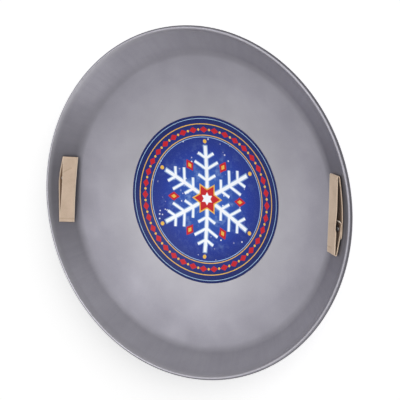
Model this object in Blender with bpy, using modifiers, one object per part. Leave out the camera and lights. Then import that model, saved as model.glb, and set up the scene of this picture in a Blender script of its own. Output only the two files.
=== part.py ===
"""Metal saucer sled: a pressed steel dish with a rolled rim, a round label stuck in its middle,
and two webbing loops as handles, each held to the wall by one rivet through its lapped ends.

The sled lies flat, as on snow. Z is up, the origin is on the ground under the middle of the
dish, and the handles are at +X and -X with their straps along Y. Lengths are in metres.
"""

import math

import bmesh
import bpy
import numpy as np
from mathutils import Matrix, Vector

MM = 0.001

# Dish, all on the face of the sheet that shows
RIM_DIAMETER = 660 * MM
SHEET = 0.8 * MM
PAD_DIAMETER = 60 * MM
BOWL_SPHERE_RADIUS = 660 * MM
BOWL_DIAMETER = 330 * MM
KNUCKLE_RADIUS = 39 * MM
WALL_LENGTH = 48 * MM
WALL_ANGLE = math.radians(43)

# Rolled rim
BEAD_DIAMETER = 7.6 * MM
BEAD_PROUD = 1.7 * MM
BEAD_ROOT_RADIUS = 2.5 * MM
CURL_END_GAP = 0.6 * MM

# Label
LABEL_DIAMETER = 325 * MM
LABEL_FILM = 0.25 * MM
LABEL_BED = 0.3 * MM

# Webbing loops. A loop runs from its far fold to its near fold, and the rivet is nearer the near one.
WEB_WIDTH = 31 * MM
WEB_THICKNESS = 1.6 * MM
WEB_EDGE_ROUND = 0.4 * MM
WEB_EDGE_ANGLE = math.radians(60)
LOOP_LENGTH = 135 * MM
RIVET_TO_NEAR_FOLD = 44.8 * MM
FOLD_OPENING = 0.4 * MM
LAP_CLEARANCE = 0.65 * MM
FAR_CLEARANCE = 0.6 * MM
NEAR_CLEARANCE = 1.6 * MM
LAP_GAP = 0.2 * MM
OUTER_LAP = 18 * MM
INNER_LAP = 14 * MM
CURL_LENGTH = 6 * MM
CURL_RISE = 3 * MM
LAP_STEP = 4 * MM
GRIP_SKEW = 5.5 * MM
RIVET_OFF_MIDDLE = 5 * MM

# Where the handles sit
RIVET_BELOW_RIM = 19.6 * MM
HANDLES_OFF_DIAMETER = 6.3 * MM

# Rivets and washers
SHANK_DIAMETER = 4.8 * MM
HOLE_CLEARANCE = 0.3 * MM
SEAT_GAP = 0.3 * MM
HEAD_DIAMETER = 9.5 * MM
HEAD_HEIGHT = 1.6 * MM
HEAD_EDGE = 0.4 * MM
TAIL_DIAMETER = 7.4 * MM
TAIL_HEIGHT = 1.0 * MM
TAIL_BORE = 2.6 * MM
TAIL_BORE_DEPTH = 3.5 * MM
WASHER_DIAMETER = 10 * MM
WASHER_THICKNESS = 0.7 * MM
WASHER_EDGE_ROUND = 0.2 * MM

# Facets
DISH_STEPS = 72
BOWL_ROWS = 5
KNUCKLE_ROWS = 4
BEAD_ROOT_ROWS = 3
BEAD_ROWS = 12
RIVET_STEPS = 24
HEAD_ROWS = 5
TAIL_ROWS = 6
LAYER_ROWS = 12
FOLD_ROWS = 8
CURL_ROWS = 4
EDGE_SEGMENTS = 2

MERGE = 0.01 * MM
CUT_OVERRUN = 2 * MM


def clear_scene():
    for obj in list(bpy.data.objects):
        bpy.data.objects.remove(obj, do_unlink=True)


def new_collection(name):
    collection = bpy.data.collections.new(name)
    bpy.context.scene.collection.children.link(collection)
    return collection


def new_material(name, colour, roughness, metallic):
    material = bpy.data.materials.new(name)
    material.use_nodes = True
    shader = material.node_tree.nodes["Principled BSDF"]
    shader.inputs["Base Color"].default_value = (*colour, 1)
    shader.inputs["Roughness"].default_value = roughness
    shader.inputs["Metallic"].default_value = metallic
    return material


def add_object(name, mesh, collection, material=None):
    obj = bpy.data.objects.new(name, mesh)
    collection.objects.link(obj)
    if material:
        mesh.materials.append(material)
    return obj


# Turned shapes: profiles in the plane of radius and height


def along(angle, length):
    """A step of this length in the direction of this angle."""
    return np.array([math.cos(angle), math.sin(angle)]) * length


def arc(centre, radius, start, end, rows):
    """Points on an arc from one angle to the other, both ends included."""
    return [centre + along(angle, radius) for angle in np.linspace(start, end, rows + 1)]


def screw(name, profile, steps, collection, material, closed=False):
    """An object that turns this profile once about Z."""
    mesh = bpy.data.meshes.new(name)
    count = len(profile)
    edges = [(i, i + 1) for i in range(count - 1)]
    if closed:
        edges.append((count - 1, 0))
    mesh.from_pydata([(radius, 0, height) for radius, height in profile], edges, [])
    obj = add_object(name, mesh, collection, material)
    turn = obj.modifiers.new("turn", "SCREW")
    turn.axis = "Z"
    turn.angle = math.tau
    turn.steps = turn.render_steps = steps
    turn.use_merge_vertices = True
    turn.merge_threshold = MERGE
    turn.use_smooth_shade = True
    return obj


def solidify(obj, thickness, offset):
    shell = obj.modifiers.new("sheet", "SOLIDIFY")
    shell.thickness = thickness
    shell.offset = offset
    shell.use_even_offset = True
    return shell


# The dish. The wall has to hold a handle, so its length is given and the dish's depth follows.

QUARTER = math.pi / 2
CONE_ANGLE = math.asin(BOWL_DIAMETER / 2 / BOWL_SPHERE_RADIUS)


def dish_height(radius):
    """Height of the sheet's inside at this radius: a flat pad to rest on, the bowl, then a cone."""
    bowl_edge = BOWL_DIAMETER / 2
    on_bowl = min(max(radius, PAD_DIAMETER / 2), bowl_edge)
    pad_drop = math.sqrt(BOWL_SPHERE_RADIUS**2 - (PAD_DIAMETER / 2) ** 2)
    bowl_rise = pad_drop - math.sqrt(BOWL_SPHERE_RADIUS**2 - on_bowl**2)
    return SHEET + bowl_rise + max(radius - bowl_edge, 0) * math.tan(CONE_ANGLE)


# Radii are worked out from the rim inwards, and heights from the bowl upwards.
BEAD_RADIUS = BEAD_DIAMETER / 2
BEAD_OFF_WALL = along(WALL_ANGLE - QUARTER, BEAD_RADIUS - BEAD_PROUD)
WALL_RUN = along(WALL_ANGLE, WALL_LENGTH)
KNUCKLE_IN = along(CONE_ANGLE - QUARTER, KNUCKLE_RADIUS)
KNUCKLE_OUT = along(WALL_ANGLE - QUARTER, KNUCKLE_RADIUS)
REACH_PAST_CONE = (KNUCKLE_OUT - KNUCKLE_IN + WALL_RUN + BEAD_OFF_WALL)[0]
CONE_END = RIM_DIAMETER / 2 - BEAD_RADIUS - REACH_PAST_CONE
KNUCKLE_CENTRE = np.array([CONE_END, dish_height(CONE_END)]) - KNUCKLE_IN
WALL_START = KNUCKLE_CENTRE + KNUCKLE_OUT
WALL_END = WALL_START + WALL_RUN
BEAD_CENTRE = WALL_END + BEAD_OFF_WALL
RIM_PLANE = BEAD_CENTRE[1]


def bowl_rows():
    """Inside of the bowl from the axis to the label's edge, shared by the sheet and the label."""
    radii = np.linspace(PAD_DIAMETER / 2, LABEL_DIAMETER / 2, BOWL_ROWS + 1)
    return [np.array([radius, dish_height(radius)]) for radius in (0, *radii)]


def knuckle_rows():
    """The bend between the cone and the wall, after the bowl's edge where the label leaves it bare."""
    start, end = CONE_ANGLE - QUARTER, WALL_ANGLE - QUARTER
    bend = arc(KNUCKLE_CENTRE, KNUCKLE_RADIUS, start, end, KNUCKLE_ROWS)
    if BOWL_DIAMETER <= LABEL_DIAMETER:
        return bend
    return [np.array([BOWL_DIAMETER / 2, dish_height(BOWL_DIAMETER / 2)]), *bend]


def bead_rows():
    """The wall turns up into a small root bend, then rolls outwards and under into the bead."""
    root_height = BEAD_ROOT_RADIUS + BEAD_RADIUS - BEAD_PROUD
    root_reach = BEAD_ROOT_RADIUS + BEAD_RADIUS
    lean = math.acos(root_height / root_reach)
    setback = math.sqrt(root_reach**2 - root_height**2)
    root_centre = WALL_END - along(WALL_ANGLE, setback) + along(WALL_ANGLE + QUARTER, BEAD_ROOT_RADIUS)
    down = WALL_ANGLE - QUARTER
    root = arc(root_centre, BEAD_ROOT_RADIUS, down, down + lean, BEAD_ROOT_ROWS)
    under_wall = BEAD_RADIUS - BEAD_PROUD - SHEET - CURL_END_GAP
    end = WALL_ANGLE - math.pi - math.asin(under_wall / BEAD_RADIUS)
    roll = arc(BEAD_CENTRE, BEAD_RADIUS, down + lean + math.pi, end, BEAD_ROWS)
    return [*root, *roll[1:]]


def wall_point(height):
    """The point of the wall's inside at this height."""
    return WALL_END + along(WALL_ANGLE, (height - WALL_END[1]) / math.sin(WALL_ANGLE))


def make_shell(collection, material):
    profile = [*bowl_rows(), *knuckle_rows(), *bead_rows()]
    shell = screw("saucer_shell", profile, DISH_STEPS, collection, material)
    solidify(shell, SHEET, -1)
    return shell


def make_label(collection, material):
    profile = [point + (0, LABEL_BED + LABEL_FILM) for point in bowl_rows()]
    label = screw("centre_label", profile, DISH_STEPS, collection, material)
    solidify(label, LABEL_FILM, -1)
    return label


# The handles, each in its own frame: origin on the wall at the rivet, X up the wall, Y along the
# strap towards its far fold, Z off the wall

RIVET_WALL_POINT = wall_point(RIM_PLANE - RIVET_BELOW_RIM)
RIVET_UP_WALL = (RIVET_WALL_POINT[1] - WALL_START[1]) / math.sin(WALL_ANGLE)
LAP_LOW_EDGE = RIVET_OFF_MIDDLE + WEB_WIDTH / 2
GRIP_LOW_EDGE = LAP_LOW_EDGE + GRIP_SKEW
LOW_EDGE_RADIUS = RIVET_WALL_POINT[0] - GRIP_LOW_EDGE * math.cos(WALL_ANGLE)
WALL_BEND_RADIUS = LOW_EDGE_RADIUS / math.sin(WALL_ANGLE)
FAR_FOLD = LOOP_LENGTH - RIVET_TO_NEAR_FOLD


def knuckle_rise(low_edge):
    """How far the knuckle comes up under a strap whose low edge is this far down from the rivet."""
    overhang = max(low_edge - RIVET_UP_WALL, 0)
    return KNUCKLE_RADIUS - math.sqrt(KNUCKLE_RADIUS**2 - overhang**2)


def wall_rise(along_strap):
    """How far the curved wall comes up towards the strap's low edge, this far from the rivet."""
    return WALL_BEND_RADIUS - math.sqrt(WALL_BEND_RADIUS**2 - along_strap**2)


LAP_SEAT = LAP_CLEARANCE + knuckle_rise(LAP_LOW_EDGE)
FAR_SEAT = FAR_CLEARANCE + knuckle_rise(GRIP_LOW_EDGE)
NEAR_SEAT = NEAR_CLEARANCE + knuckle_rise(GRIP_LOW_EDGE)
LAP_LAY = LAP_SEAT + WEB_THICKNESS + LAP_GAP + WEB_THICKNESS / 2
LAP_TOP = LAP_LAY + WEB_THICKNESS / 2


def ease(share):
    """0 to 1 with a level start and end."""
    share = min(max(share, 0), 1)
    return share * share * (3 - 2 * share)


def loop_line():
    """The middle of the webbing, from its outer end round to its curled inner end.

    Each row is (along the strap, off the wall, up the wall).
    """
    fold_radius = (WEB_THICKNESS + FOLD_OPENING) / 2
    fold_reach = fold_radius + WEB_THICKNESS / 2

    # The outer layer follows the wall, and both folds stand a little off it.
    far_end = FAR_FOLD - fold_reach
    outer = []
    for place in np.linspace(-OUTER_LAP, far_end, LAYER_ROWS + 1):
        lay = LAP_SEAT + (FAR_SEAT - LAP_SEAT) * ease((place - INNER_LAP) / (far_end - INNER_LAP))
        outer.append(np.array([place, wall_rise(place) + lay + WEB_THICKNESS / 2]))
    far_lean = math.asin(far_end / WALL_BEND_RADIUS)
    far_centre = outer[-1] + along(far_lean + QUARTER, fold_radius)

    near_end = fold_reach - RIVET_TO_NEAR_FOLD
    near_lay = NEAR_SEAT + WEB_THICKNESS / 2
    near_lean = math.asin(near_end / WALL_BEND_RADIUS)
    near_start = np.array([near_end, wall_rise(near_end) + near_lay])
    near_centre = near_start + along(near_lean + QUARTER, fold_radius)

    # The grip is a straight run between the two folds.
    run = far_centre - near_centre
    grip_lean = math.atan2(run[1], run[0])
    far_fold = arc(far_centre, fold_radius, far_lean - QUARTER, grip_lean + QUARTER, FOLD_ROWS)
    near_fold = arc(near_centre, fold_radius, grip_lean + QUARTER, near_lean + QUARTER + math.pi, FOLD_ROWS)

    # The inner layer climbs onto the outer one, and its end curls up behind the rivet.
    inner = []
    curl_start = INNER_LAP - CURL_LENGTH
    places = [
        *np.linspace(near_end, curl_start, LAYER_ROWS + 1)[1:],
        *np.linspace(curl_start, INNER_LAP, CURL_ROWS + 1)[1:],
    ]
    for place in places:
        climb = ease((place - near_end) / (-OUTER_LAP - LAP_STEP - near_end))
        lay = near_lay + (LAP_LAY - near_lay) * climb
        curl = max(place - curl_start, 0) / CURL_LENGTH
        inner.append(np.array([place, wall_rise(place) + lay + CURL_RISE * curl**2]))

    # The back layers run aslant from the folds to the rivet, so the grip sits lower on the wall.
    rows = [(*point, -GRIP_SKEW * point[0] / FAR_FOLD) for point in outer]
    rows += [(*point, -GRIP_SKEW) for point in (*far_fold[1:], *near_fold)]
    rows += [(*point, GRIP_SKEW * point[0] / RIVET_TO_NEAR_FOLD) for point in inner]
    return [(place, lift, shift - RIVET_OFF_MIDDLE) for place, lift, shift in rows]


def loop_mesh(name):
    """The webbing as a thin sheet along its middle line."""
    mesh = bpy.data.meshes.new(name)
    bm = bmesh.new()
    previous = None
    for place, lift, shift in loop_line():
        pair = [bm.verts.new((shift + side * WEB_WIDTH / 2, place, lift)) for side in (-1, 1)]
        if previous:
            bm.faces.new((previous[0], previous[1], pair[1], pair[0]))
        previous = pair
    bm.to_mesh(mesh)
    bm.free()
    return mesh


def hole_cutter(name, mount, low, high, cutters):
    """A cylinder on the rivet's axis, from low to high off the wall."""
    mesh = bpy.data.meshes.new(name)
    bm = bmesh.new()
    radius = SHANK_DIAMETER / 2 + HOLE_CLEARANCE
    bmesh.ops.create_cone(
        bm,
        cap_ends=True,
        segments=RIVET_STEPS,
        radius1=radius,
        radius2=radius,
        depth=high - low,
        matrix=Matrix.Translation((0, 0, (low + high) / 2)),
    )
    bm.to_mesh(mesh)
    bm.free()
    cutter = add_object(name, mesh, cutters)
    cutter.parent = mount
    cutter.hide_render = True
    cutter.display_type = "WIRE"
    return cutter


def drill(obj, cutter):
    cut = obj.modifiers.new(cutter.name, "BOOLEAN")
    cut.operation = "DIFFERENCE"
    cut.solver = "EXACT"
    cut.object = cutter


def make_webbing(side, mount, collection, cutters, material):
    name = f"{side}_handle_webbing"
    loop = add_object(name, loop_mesh(name), collection, material)
    solidify(loop, WEB_THICKNESS, 0)
    edge = loop.modifiers.new("worn_edges", "BEVEL")
    edge.width = WEB_EDGE_ROUND
    edge.segments = EDGE_SEGMENTS
    edge.limit_method = "ANGLE"
    edge.angle_limit = WEB_EDGE_ANGLE
    top = LAP_TOP + SEAT_GAP
    drill(loop, hole_cutter(f"{side}_webbing_hole", mount, -CUT_OVERRUN, top, cutters))
    loop.parent = mount
    loop.data.shade_smooth()
    return loop


def rivet_profile():
    """From the floor of the tail's bore, over the rolled tail and down to the head's crown."""
    tail_seat = LAP_TOP + SEAT_GAP + WASHER_THICKNESS + SEAT_GAP
    bore = TAIL_BORE / 2
    roll_reach = (TAIL_DIAMETER / 2 - bore) / 2
    roll_centre = bore + roll_reach
    bore_floor = tail_seat + TAIL_HEIGHT - TAIL_BORE_DEPTH
    rows = [(0, bore_floor), (bore, bore_floor)]
    for angle in np.linspace(math.pi, 0, TAIL_ROWS + 1):
        rows.append((roll_centre + roll_reach * math.cos(angle), tail_seat + TAIL_HEIGHT * math.sin(angle)))
    head_seat = -SHEET - SEAT_GAP
    shank = SHANK_DIAMETER / 2
    rows += [(shank, tail_seat), (shank, head_seat), (HEAD_DIAMETER / 2, head_seat)]
    for angle in np.linspace(0, QUARTER, HEAD_ROWS + 1):
        crown = (HEAD_HEIGHT - HEAD_EDGE) * math.sin(angle)
        rows.append((HEAD_DIAMETER / 2 * math.cos(angle), head_seat - HEAD_EDGE - crown))
    return rows


def washer_profile():
    """The washer's section, down its outer side first."""
    inner = SHANK_DIAMETER / 2 + HOLE_CLEARANCE
    outer = WASHER_DIAMETER / 2
    low = LAP_TOP + SEAT_GAP
    high = low + WASHER_THICKNESS
    return [
        (outer - WASHER_EDGE_ROUND, high),
        (outer, high - WASHER_EDGE_ROUND),
        (outer, low),
        (inner, low),
        (inner, high),
    ]


def make_handle(side, azimuth, parts, cutters, shell, webbing, steel):
    """One handle: its frame, the webbing, the rivet and the washer, and the hole in the sheet."""
    mount = bpy.data.objects.new(f"{side}_handle_mount", None)
    parts.objects.link(mount)
    radius, height = RIVET_WALL_POINT
    up_wall = Vector((math.cos(WALL_ANGLE), 0, math.sin(WALL_ANGLE)))
    off_wall = Vector((-math.sin(WALL_ANGLE), 0, math.cos(WALL_ANGLE)))
    frame = Matrix((up_wall, Vector((0, 1, 0)), off_wall)).transposed().to_4x4()
    place = Matrix.Translation((radius, 0, height))
    mount.matrix_world = Matrix.Rotation(azimuth, 4, "Z") @ place @ frame
    make_webbing(side, mount, parts, cutters, webbing)
    rivet = screw(f"{side}_handle_rivet", rivet_profile(), RIVET_STEPS, parts, steel)
    washer = screw(f"{side}_handle_washer", washer_profile(), RIVET_STEPS, parts, steel, closed=True)
    rivet.parent = washer.parent = mount
    through = CUT_OVERRUN + SHEET
    drill(shell, hole_cutter(f"{side}_sheet_hole", mount, -through, CUT_OVERRUN, cutters))


def main():
    clear_scene()
    parts = new_collection("saucer_sled")
    cutters = new_collection("cutters")
    sheet_steel = new_material("satin_sheet_steel", (0.34, 0.33, 0.37), 0.42, 0.85)
    film = new_material("printed_film", (0.02, 0.06, 0.28), 0.25, 0)
    cotton = new_material("cotton_webbing", (0.58, 0.45, 0.32), 0.9, 0)
    rivet_steel = new_material("rivet_steel", (0.55, 0.55, 0.56), 0.35, 1)

    shell = make_shell(parts, sheet_steel)
    make_label(parts, film)
    loop_centre = LOOP_LENGTH / 2 - RIVET_TO_NEAR_FOLD
    radius = RIVET_WALL_POINT[0]
    right = math.asin((HANDLES_OFF_DIAMETER - loop_centre) / radius)
    left = math.pi - math.asin((HANDLES_OFF_DIAMETER + loop_centre) / radius)
    make_handle("right", right, parts, cutters, shell, cotton, rivet_steel)
    make_handle("left", left, parts, cutters, shell, cotton, rivet_steel)


main()
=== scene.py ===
# %% [markdown]
# # Dressing a steel saucer sled
#
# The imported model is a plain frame: a pressed dish, a round label, and two webbing loops that
# are each held to the wall by one rivet. This lesson gives it the finish of the real thing.
# The pieces are modelled again with finer rows wherever the plain ones would show facets, in
# the same places, so that everything still fits the working model.
#
# Lengths are in metres. Z is up, the sled lies flat on the ground, and the handles are at +X
# and -X. The sizes that the plain model has too are the same here, apart from the bend under
# the bead, which is softer, and the folds of the webbing, which follow the real ones.

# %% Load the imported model
import math

import bmesh
import bpy
import numpy as np
from mathutils import Matrix, Vector


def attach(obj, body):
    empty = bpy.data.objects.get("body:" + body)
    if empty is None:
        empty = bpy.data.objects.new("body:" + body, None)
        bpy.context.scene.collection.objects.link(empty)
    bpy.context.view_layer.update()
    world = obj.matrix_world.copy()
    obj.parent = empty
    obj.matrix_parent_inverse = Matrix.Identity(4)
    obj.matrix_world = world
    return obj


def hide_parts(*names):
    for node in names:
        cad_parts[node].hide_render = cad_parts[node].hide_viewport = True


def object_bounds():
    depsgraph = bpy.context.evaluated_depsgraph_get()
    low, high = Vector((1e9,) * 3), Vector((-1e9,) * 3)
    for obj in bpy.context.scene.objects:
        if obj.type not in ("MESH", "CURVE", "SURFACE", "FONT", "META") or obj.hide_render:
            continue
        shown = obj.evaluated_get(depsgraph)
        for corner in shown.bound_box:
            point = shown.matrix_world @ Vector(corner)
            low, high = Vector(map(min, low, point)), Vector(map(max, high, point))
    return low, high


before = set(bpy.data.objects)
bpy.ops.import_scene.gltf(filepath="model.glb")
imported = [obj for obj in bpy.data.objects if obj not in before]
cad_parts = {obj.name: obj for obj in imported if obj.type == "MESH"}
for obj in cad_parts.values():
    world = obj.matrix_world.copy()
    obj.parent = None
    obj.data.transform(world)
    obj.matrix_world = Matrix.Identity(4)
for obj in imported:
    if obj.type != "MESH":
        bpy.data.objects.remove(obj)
cad_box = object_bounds()
MM = 0.001
QUARTER = math.pi / 2
cad_size = (cad_box[1] - cad_box[0]) / MM
print("packed model, mm:", [round(side, 1) for side in cad_size])

# %% [markdown]
# ## The camera
#
# The photograph looks down into the dish from the right handle's side, with the strap of each
# handle running up the picture. Its place, direction and focal length came from fitting the
# rim, the label and the corners of both straps at once. The picture is 400 pixels square, so a
# focal length in pixels becomes millimetres on Blender's 36 mm sensor by a plain ratio. The
# optical axis doesn't pass through the middle of the picture, and a small lens shift does that.

# %% Place the camera
CAMERA_PLACE = Vector((0.8097, 0.2583, 1.3866))
CAMERA_LOOK = Vector((-0.508713, -0.112910, -0.853500))
CAMERA_UP = Vector((-0.058236, 0.993605, -0.096735))
PICTURE = 400
FOCAL_PIXELS = 834.7
OPTICAL_AXIS_FROM_TOP = 160
SENSOR_WIDTH = 36

camera_data = bpy.data.cameras.new("camera")
camera_data.sensor_width = SENSOR_WIDTH
camera_data.lens = FOCAL_PIXELS / PICTURE * SENSOR_WIDTH
camera_data.shift_y = OPTICAL_AXIS_FROM_TOP / PICTURE - 0.5
camera = bpy.data.objects.new("camera", camera_data)
bpy.context.scene.collection.objects.link(camera)
bpy.context.scene.camera = camera
camera_right = CAMERA_LOOK.cross(CAMERA_UP)
camera_turn = Matrix((camera_right, CAMERA_UP, -CAMERA_LOOK)).transposed().to_4x4()
camera.matrix_world = Matrix.Translation(CAMERA_PLACE) @ camera_turn
bpy.context.scene.view_settings.view_transform = "Standard"
print("lens, mm:", round(camera_data.lens, 1))

# %% [markdown]
# ## Writing materials as arithmetic
#
# A procedural material is mostly arithmetic on masks: where is the ring, how wide is the star,
# what lies inside both. Node trees hide that. The class below wraps one socket, and Python's
# operators on it add the Math nodes, so a ring is written as abs(radius - 0.15).below(width,
# edge). Any other node comes from one method, which takes the node's type, its inputs and its
# settings.

# %% A socket that can be calculated with
class Wire:
    """A socket of a node tree. An operator on it adds a Math node and gives that node's output."""

    def __init__(self, tree, socket=None):
        self.tree = tree
        self.socket = socket

    def node(self, kind, inputs=None, output=0, **settings):
        """Adds a node: its settings first, then values or links by socket."""
        node = self.tree.nodes.new(kind)
        for name, value in settings.items():
            setattr(node, name, value)
        for name, value in (inputs or {}).items():
            socket = node.inputs[name]
            if isinstance(value, Wire):
                self.tree.links.new(value.socket, socket)
            elif socket.type == "RGBA":
                socket.default_value = (*value, 1)
            else:
                socket.default_value = value
        return Wire(self.tree, node.outputs[output])

    def maths(self, operation, *others):
        """A Math node of this operation, with this as its first value."""
        values = dict(enumerate((self, *others)))
        return self.node("ShaderNodeMath", values, operation=operation)

    def __add__(self, other):
        return self.maths("ADD", other)

    def __sub__(self, other):
        return self.maths("SUBTRACT", other)

    def __rsub__(self, other):
        return self.node("ShaderNodeMath", {0: other, 1: self}, operation="SUBTRACT")

    def __mul__(self, other):
        return self.maths("MULTIPLY", other)

    def __truediv__(self, other):
        return self.maths("DIVIDE", other)

    def __pow__(self, other):
        return self.maths("POWER", other)

    def __abs__(self):
        return self.maths("ABSOLUTE")

    __radd__ = __add__
    __rmul__ = __mul__

    def rise(self, start, end):
        """0 up to start, 1 from end on, and an even ramp between them. Start may be above end."""
        inputs = {"Value": self, "From Min": start, "From Max": end}
        return self.node("ShaderNodeMapRange", inputs, clamp=True)

    def below(self, limit, edge):
        """1 where this is under the limit, with an edge this soft."""
        return self.rise(limit + edge / 2, limit - edge / 2)

    def tint(self, low, high):
        """A colour: low where this is 0 and high where it is 1."""
        inputs = {0: self, 6: low, 7: high}
        return self.node("ShaderNodeMix", inputs, output=2, data_type="RGBA", clamp_factor=True)


def new_material(name):
    """An empty material and its tree, with the Principled shader in place."""
    material = bpy.data.materials.new(name)
    material.use_nodes = True
    tree = material.node_tree
    return material, Wire(tree), tree.nodes["Principled BSDF"]


def feed(shader, **sockets):
    """Sets or links the shader's sockets, where Base_Color stands for Base Color."""
    for name, value in sockets.items():
        socket = shader.inputs[name.replace("_", " ")]
        if isinstance(value, Wire):
            value.tree.links.new(value.socket, socket)
        elif hasattr(value, "__len__"):
            socket.default_value = (*value, 1)
        else:
            socket.default_value = value


def object_place(tree):
    """The point on the surface in the piece's own frame."""
    return tree.node("ShaderNodeTexCoord", output="Object")


def split(place):
    """A vector's x, y and z."""
    return [place.node("ShaderNodeSeparateXYZ", {0: place}, output=axis) for axis in "XYZ"]


def noise(tree, vector, scale, detail=3, roughness=0.5):
    """Smooth noise from 0 to 1 that turns over about this many times a metre."""
    inputs = {"Vector": vector, "Scale": scale, "Detail": detail, "Roughness": roughness}
    return tree.node("ShaderNodeTexNoise", inputs, noise_dimensions="3D")


def bump(tree, height, distance, below=None):
    """A bump of this height map, with 1 standing this far over 0."""
    inputs = {"Height": height, "Distance": distance}
    if below:
        inputs["Normal"] = below
    return tree.node("ShaderNodeBump", inputs)


print("shader arithmetic is ready")

# %% [markdown]
# ## The studio
#
# The object stands on a white floor. White can't come from more light, because that would
# bleach the steel, so the floor glows for camera and mirror rays only, and the rest of its
# brightness is plain diffuse white, which keeps the shadow. The world is an even, dimmer
# fill. The camera sees it white, and so do mirror rays up to the top of the backdrop, above
# which they meet the studio's grey ceiling and its lamps. Steel in an all-white room would be
# one flat tone, and it is the darker ceiling between the lamps that gives the bowl its shape.
#
# Soft suns stand in for two softboxes above, a low one and a window behind the right handle. A
# sun is as strong far off as near, so the floor stays white up to the horizon. The steel
# mirrors the softboxes, which is why the bowl is brighter than the wall round it, and doesn't
# mirror the window. Light linking keeps the softboxes off the floor, so the window is the only
# lamp that casts a shadow there, a soft one to the lower left.

# %% The floor and the world
FLOOR_SIDE = 60
FLOOR_COLOUR = 0.90
FLOOR_GLOW = 0.58
FILL = 0.20
BACKDROP_TOP = math.sin(math.radians(18))
BACKDROP_EDGE = 0.15
# name: where it shines from, how bright a white face turned to it gets, its size, softbox or not
LAMPS = {
    "overhead_softbox": (Vector((-0.04, 0.26, 0.96)), 0.33, math.radians(50), True),
    "left_softbox": (Vector((-0.59, -0.05, 0.81)), 0.28, math.radians(60), True),
    "low_softbox": (Vector((0.22, -0.84, 0.50)), 0.18, math.radians(50), True),
    "window": (Vector((0.59, 0.49, 0.64)), 0.45, math.radians(40), False),
}


def seen_white(tree, mirrored=1):
    """1 for rays from the camera, this much for rays off gloss or through glass, otherwise 0."""
    names = ("Is Camera Ray", "Is Glossy Ray", "Is Transmission Ray")
    camera, glossy, through = (tree.node("ShaderNodeLightPath", output=name) for name in names)
    return camera.maths("MAXIMUM", glossy.maths("MAXIMUM", through) * mirrored)


floor_material = bpy.data.materials.new("white_floor")
floor_material.use_nodes = True
tree = Wire(floor_material.node_tree)
diffuse = tree.node("ShaderNodeBsdfDiffuse", {"Color": (FLOOR_COLOUR,) * 3})
glow = tree.node("ShaderNodeEmission", {"Strength": seen_white(tree) * FLOOR_GLOW})
both = tree.node("ShaderNodeAddShader", {0: diffuse, 1: glow})
tree.tree.links.new(both.socket, tree.tree.nodes["Material Output"].inputs["Surface"])

floor_mesh = bpy.data.meshes.new("floor")
corners = [(x * FLOOR_SIDE / 2, y * FLOOR_SIDE / 2, 0) for x, y in ((-1, -1), (1, -1), (1, 1), (-1, 1))]
floor_mesh.from_pydata(corners, [], [(0, 1, 2, 3)])
floor_mesh.materials.append(floor_material)
floor = bpy.data.objects.new("floor", floor_mesh)
bpy.context.scene.collection.objects.link(floor)

world = bpy.data.worlds.new("studio")
bpy.context.scene.world = world
world.use_nodes = True
tree = Wire(world.node_tree)
background = world.node_tree.nodes["Background"]
background.inputs["Color"].default_value = (1, 1, 1, 1)
direction = tree.node("ShaderNodeTexCoord", output="Generated")
upward = tree.node("ShaderNodeSeparateXYZ", {0: direction}, output="Z")
backdrop = upward.rise(BACKDROP_TOP + BACKDROP_EDGE, BACKDROP_TOP - BACKDROP_EDGE)
strength = seen_white(tree, backdrop) * (1 - FILL) + FILL
world.node_tree.links.new(strength.socket, background.inputs["Strength"])
print("floor, m:", FLOOR_SIDE, " world nodes:", len(world.node_tree.nodes))

# %% The lamps
softboxes_miss = bpy.data.collections.new("softboxes_miss")
softboxes_miss.objects.link(floor)
softboxes_miss.collection_objects[0].light_linking.link_state = "EXCLUDE"

level = FILL
for name, (shines_from, brightness, size, softbox) in LAMPS.items():
    lamp_data = bpy.data.lights.new(name, "SUN")
    lamp_data.energy = brightness * math.pi
    lamp_data.angle = size
    lamp = bpy.data.objects.new(name, lamp_data)
    bpy.context.scene.collection.objects.link(lamp)
    lamp.rotation_euler = shines_from.to_track_quat("Z", "Y").to_euler()
    lamp.visible_glossy = softbox
    if softbox:
        lamp.light_linking.receiver_collection = softboxes_miss
    level += brightness * shines_from.normalized().z
print("a level white face of the object renders at", round(level, 2))

# %% [markdown]
# ## Helpers for modelling
#
# Two kinds of shape make up the sled. The dish, the label, the rivets and the washers are
# turned: a section in the plane of radius and height goes once round the axis. The handles are
# swept: a flat section follows a line. Holes are cut with a Boolean against a drill-sized
# cylinder, and the result is kept as a plain mesh, so that nothing is left to be worked out
# when the scene is drawn.


# %% Sections, turned pieces and drilling
DRILL_FACETS = 48
MERGE_WITHIN = 0.001 * MM


def along(angle, length):
    """A step of this length in the direction of this angle."""
    return np.array([math.cos(angle), math.sin(angle)]) * length


def arc(centre, radius, start, end, rows):
    """Points on an arc from one angle to the other, both ends included."""
    return [centre + along(angle, radius) for angle in np.linspace(start, end, rows + 1)]


def ease(share):
    """0 to 1 with a level start and end."""
    share = np.clip(share, 0, 1)
    return share * share * (3 - 2 * share)


def add_piece(name, mesh, material, slot, body, *nodes):
    """An object of this mesh that rides on a body, in place of the plain model's nodes."""
    piece = bpy.data.objects.new(name, mesh)
    bpy.context.scene.collection.objects.link(piece)
    mesh.materials.append(material)
    mesh.shade_smooth()
    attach(piece, body)
    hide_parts(*nodes)
    return piece


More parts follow.
